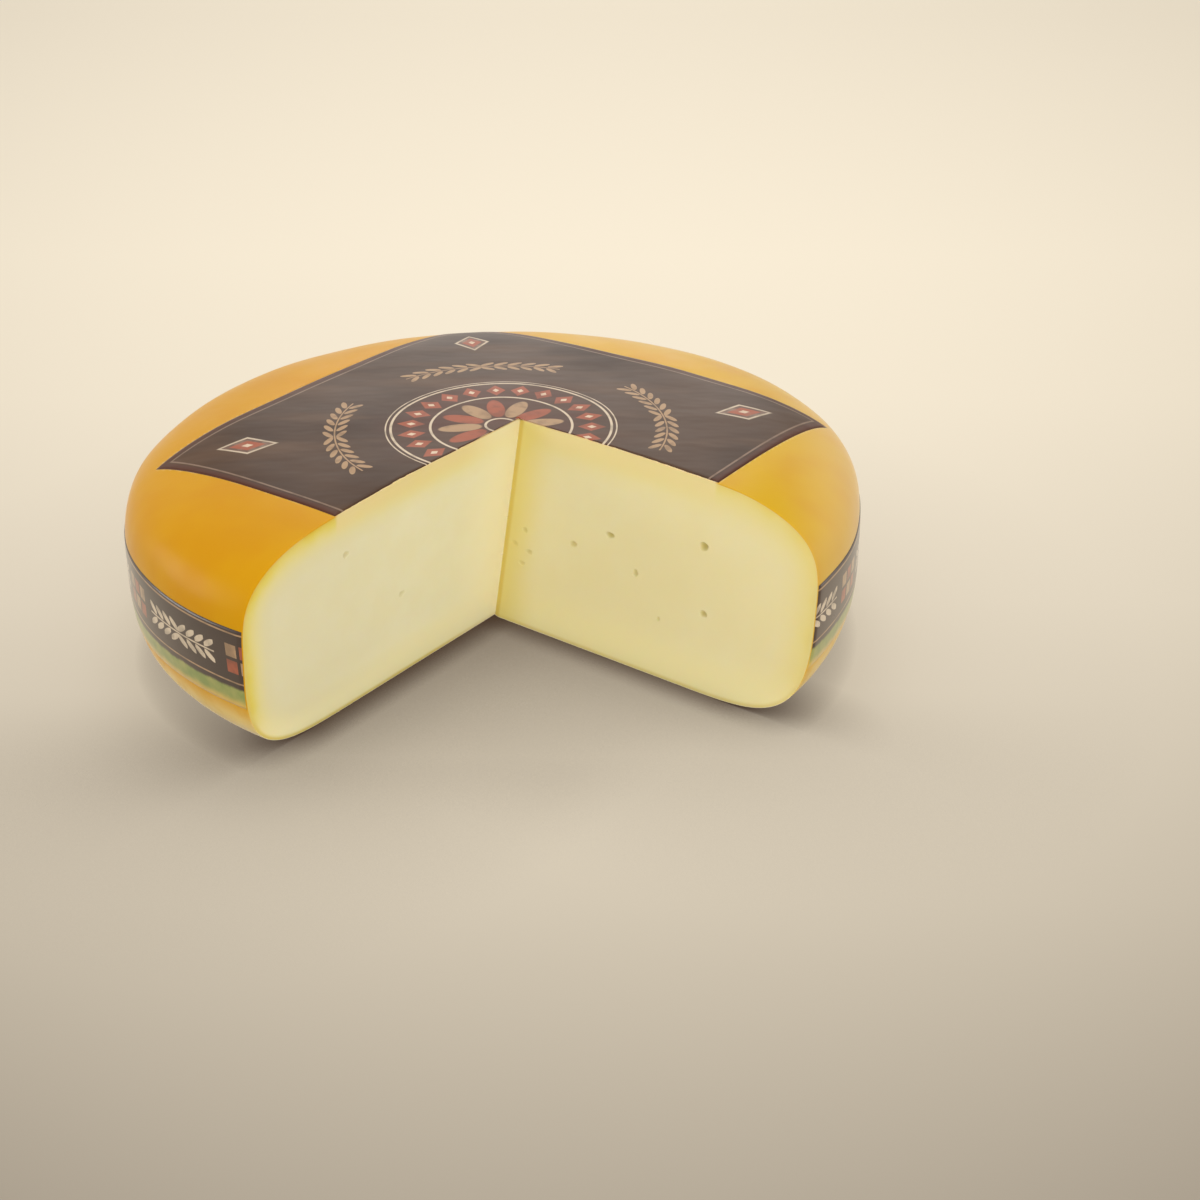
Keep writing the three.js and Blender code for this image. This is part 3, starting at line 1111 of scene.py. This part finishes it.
def open_floor_shade(finish, x, y):
    """Painted light on the floor away from the cheese: brighter towards the back and round a middle line.
    """
    depth = finish.ramp(y, [(place, grey(shade)) for place, shade in FLOOR_SHADES])
    ahead = finish.math("MAXIMUM", finish.add(y, FLOOR_POOL_DEPTH), FLOOR_POOL_NEAREST)
    aside = finish.math("DIVIDE", finish.subtract(x, FLOOR_MIDDLE), ahead)
    pool = finish.subtract(1, finish.times(FLOOR_POOL_FALL, finish.times(aside, aside)))
    return finish.times(depth, finish.math("MAXIMUM", pool, FLOOR_POOL_LEAST))


def before_faces(finish, x, y, softness):
    """One on the floor in front of both cut faces, fading out behind them."""
    crease = (CREASE_AT_BASE + SHIFT[:2]) * MM
    shares = []
    for angle in (LEFT_OUTWARD, RIGHT_OUTWARD):
        outward = direction(angle)
        across = finish.add(finish.times(x, float(outward[0])), finish.times(y, float(outward[1])))
        away = finish.subtract(across, float(crease @ outward[:2]))
        shares.append(finish.step(away, -softness, 0.0))
    return finish.both(*shares)


def shade_shares(finish, x, y):
    """Where the wide and the close painted shadow show, and how strongly."""
    in_cut = before_faces(finish, x, y, CLOSE_SOFTNESS)
    round_cut = before_faces(finish, x, y, WIDE_SOFTNESS)
    in_front = finish.step(y, -0.19, -0.09, WIDE_SHADE["in front"], WIDE_SHADE["beside"])
    wide = finish.math("MAXIMUM", finish.times(round_cut, WIDE_SHADE["in the cut"]), in_front)
    radius = finish.math("SQRT", finish.add(finish.times(x, x), finish.times(y, y)))
    deep = finish.step(radius, 0.15, 0.18, 1.0, 0.3)
    more = finish.times(deep, CLOSE_SHADE["in the cut"] - CLOSE_SHADE["beside"])
    close = finish.add(CLOSE_SHADE["beside"], finish.times(in_cut, more))
    return (WIDE_SHADE, wide), (CLOSE_SHADE, close)


def floor_finish():
    finish = Finish("floor_finish")
    x, y, _ = finish.split(finish.node("TexCoord").outputs["Object"])
    light = open_floor_shade(finish, x, y)
    # Painted shadow near the cheese, darkest where other surfaces are close.
    for contact, share in shade_shares(finish, x, y):
        lost = finish.subtract(1, finish.nearness(contact["reach"], contact["strength"]))
        light = finish.times(light, finish.subtract(1, finish.times(share, lost)))
    tone = finish.mix(light, linear(*FLOOR_SHADE_COLOUR), linear(*FLOOR_COLOUR))
    finish.surface({
        "Base Color": finish.mix(FLOOR_ALBEDO, grey(0.0), tone),
        "Roughness": 0.85,
        "Specular IOR Level": 0.1,
        # Painted light: the floor glows with its own colour, painted shade included.
        "Emission Color": tone,
        "Emission Strength": FLOOR_GLOW,
    })
    return finish.material


def make_floor():
    mesh = bpy.data.meshes.new("floor")
    corners = [(x, y, 0) for x, y in ((-1, -1), (1, -1), (1, 1), (-1, 1))]
    corners = [(x * FLOOR_HALF, y * FLOOR_HALF, z) for x, y, z in corners]
    mesh.from_pydata(corners, [], [(0, 1, 2, 3)])
    mesh.materials.append(floor_finish())
    floor = bpy.data.objects.new("floor", mesh)
    bpy.context.scene.collection.objects.link(floor)


def make_light(name, place, size, power, mirrored):
    data = bpy.data.lights.new(name, "AREA")
    data.shape = "DISK"
    data.size = size
    data.energy = power
    data.color = LAMP_COLOUR
    light = bpy.data.objects.new(name, data)
    bpy.context.scene.collection.objects.link(light)
    light.location = place
    heading = np.array(LAMP_AIM) - np.array(place)
    flat = np.hypot(heading[0], heading[1])
    tilt = np.arctan2(flat, -heading[2])
    turn = np.arctan2(heading[1], heading[0]) - pi / 2
    light.rotation_euler = (tilt, 0, turn)
    light.visible_glossy = mirrored


def make_lights():
    for settings in LIGHTS:
        make_light(*settings)
    world = bpy.data.worlds.new("studio")
    bpy.context.scene.world = world
    world.use_nodes = True
    background = world.node_tree.nodes["Background"]
    background.inputs["Color"].default_value = linear(*ROOM_COLOUR)
    background.inputs["Strength"].default_value = ROOM_STRENGTH


def make_camera():
    data = bpy.data.cameras.new("camera")
    data.lens = CAMERA_LENS
    data.sensor_width = SENSOR_WIDTH
    camera = bpy.data.objects.new("camera", data)
    bpy.context.scene.collection.objects.link(camera)
    camera.location = (np.array(CAMERA_PLACE) + SHIFT) * MM
    camera.rotation_euler = (radians(90 - CAMERA_PITCH), 0, 0)
    bpy.context.scene.camera = camera


def finish_piece(piece, node, material):
    piece.data.materials.append(material)
    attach(piece, "root")
    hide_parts(node)


make_camera()
finish_piece(make_cheese(), "cheese", cheese_finish())
finish_piece(make_label(), "top_label", label_finish())
finish_piece(make_band(), "side_band", band_finish())
make_floor()
make_lights()
bpy.context.scene.view_settings.view_transform = "Standard"
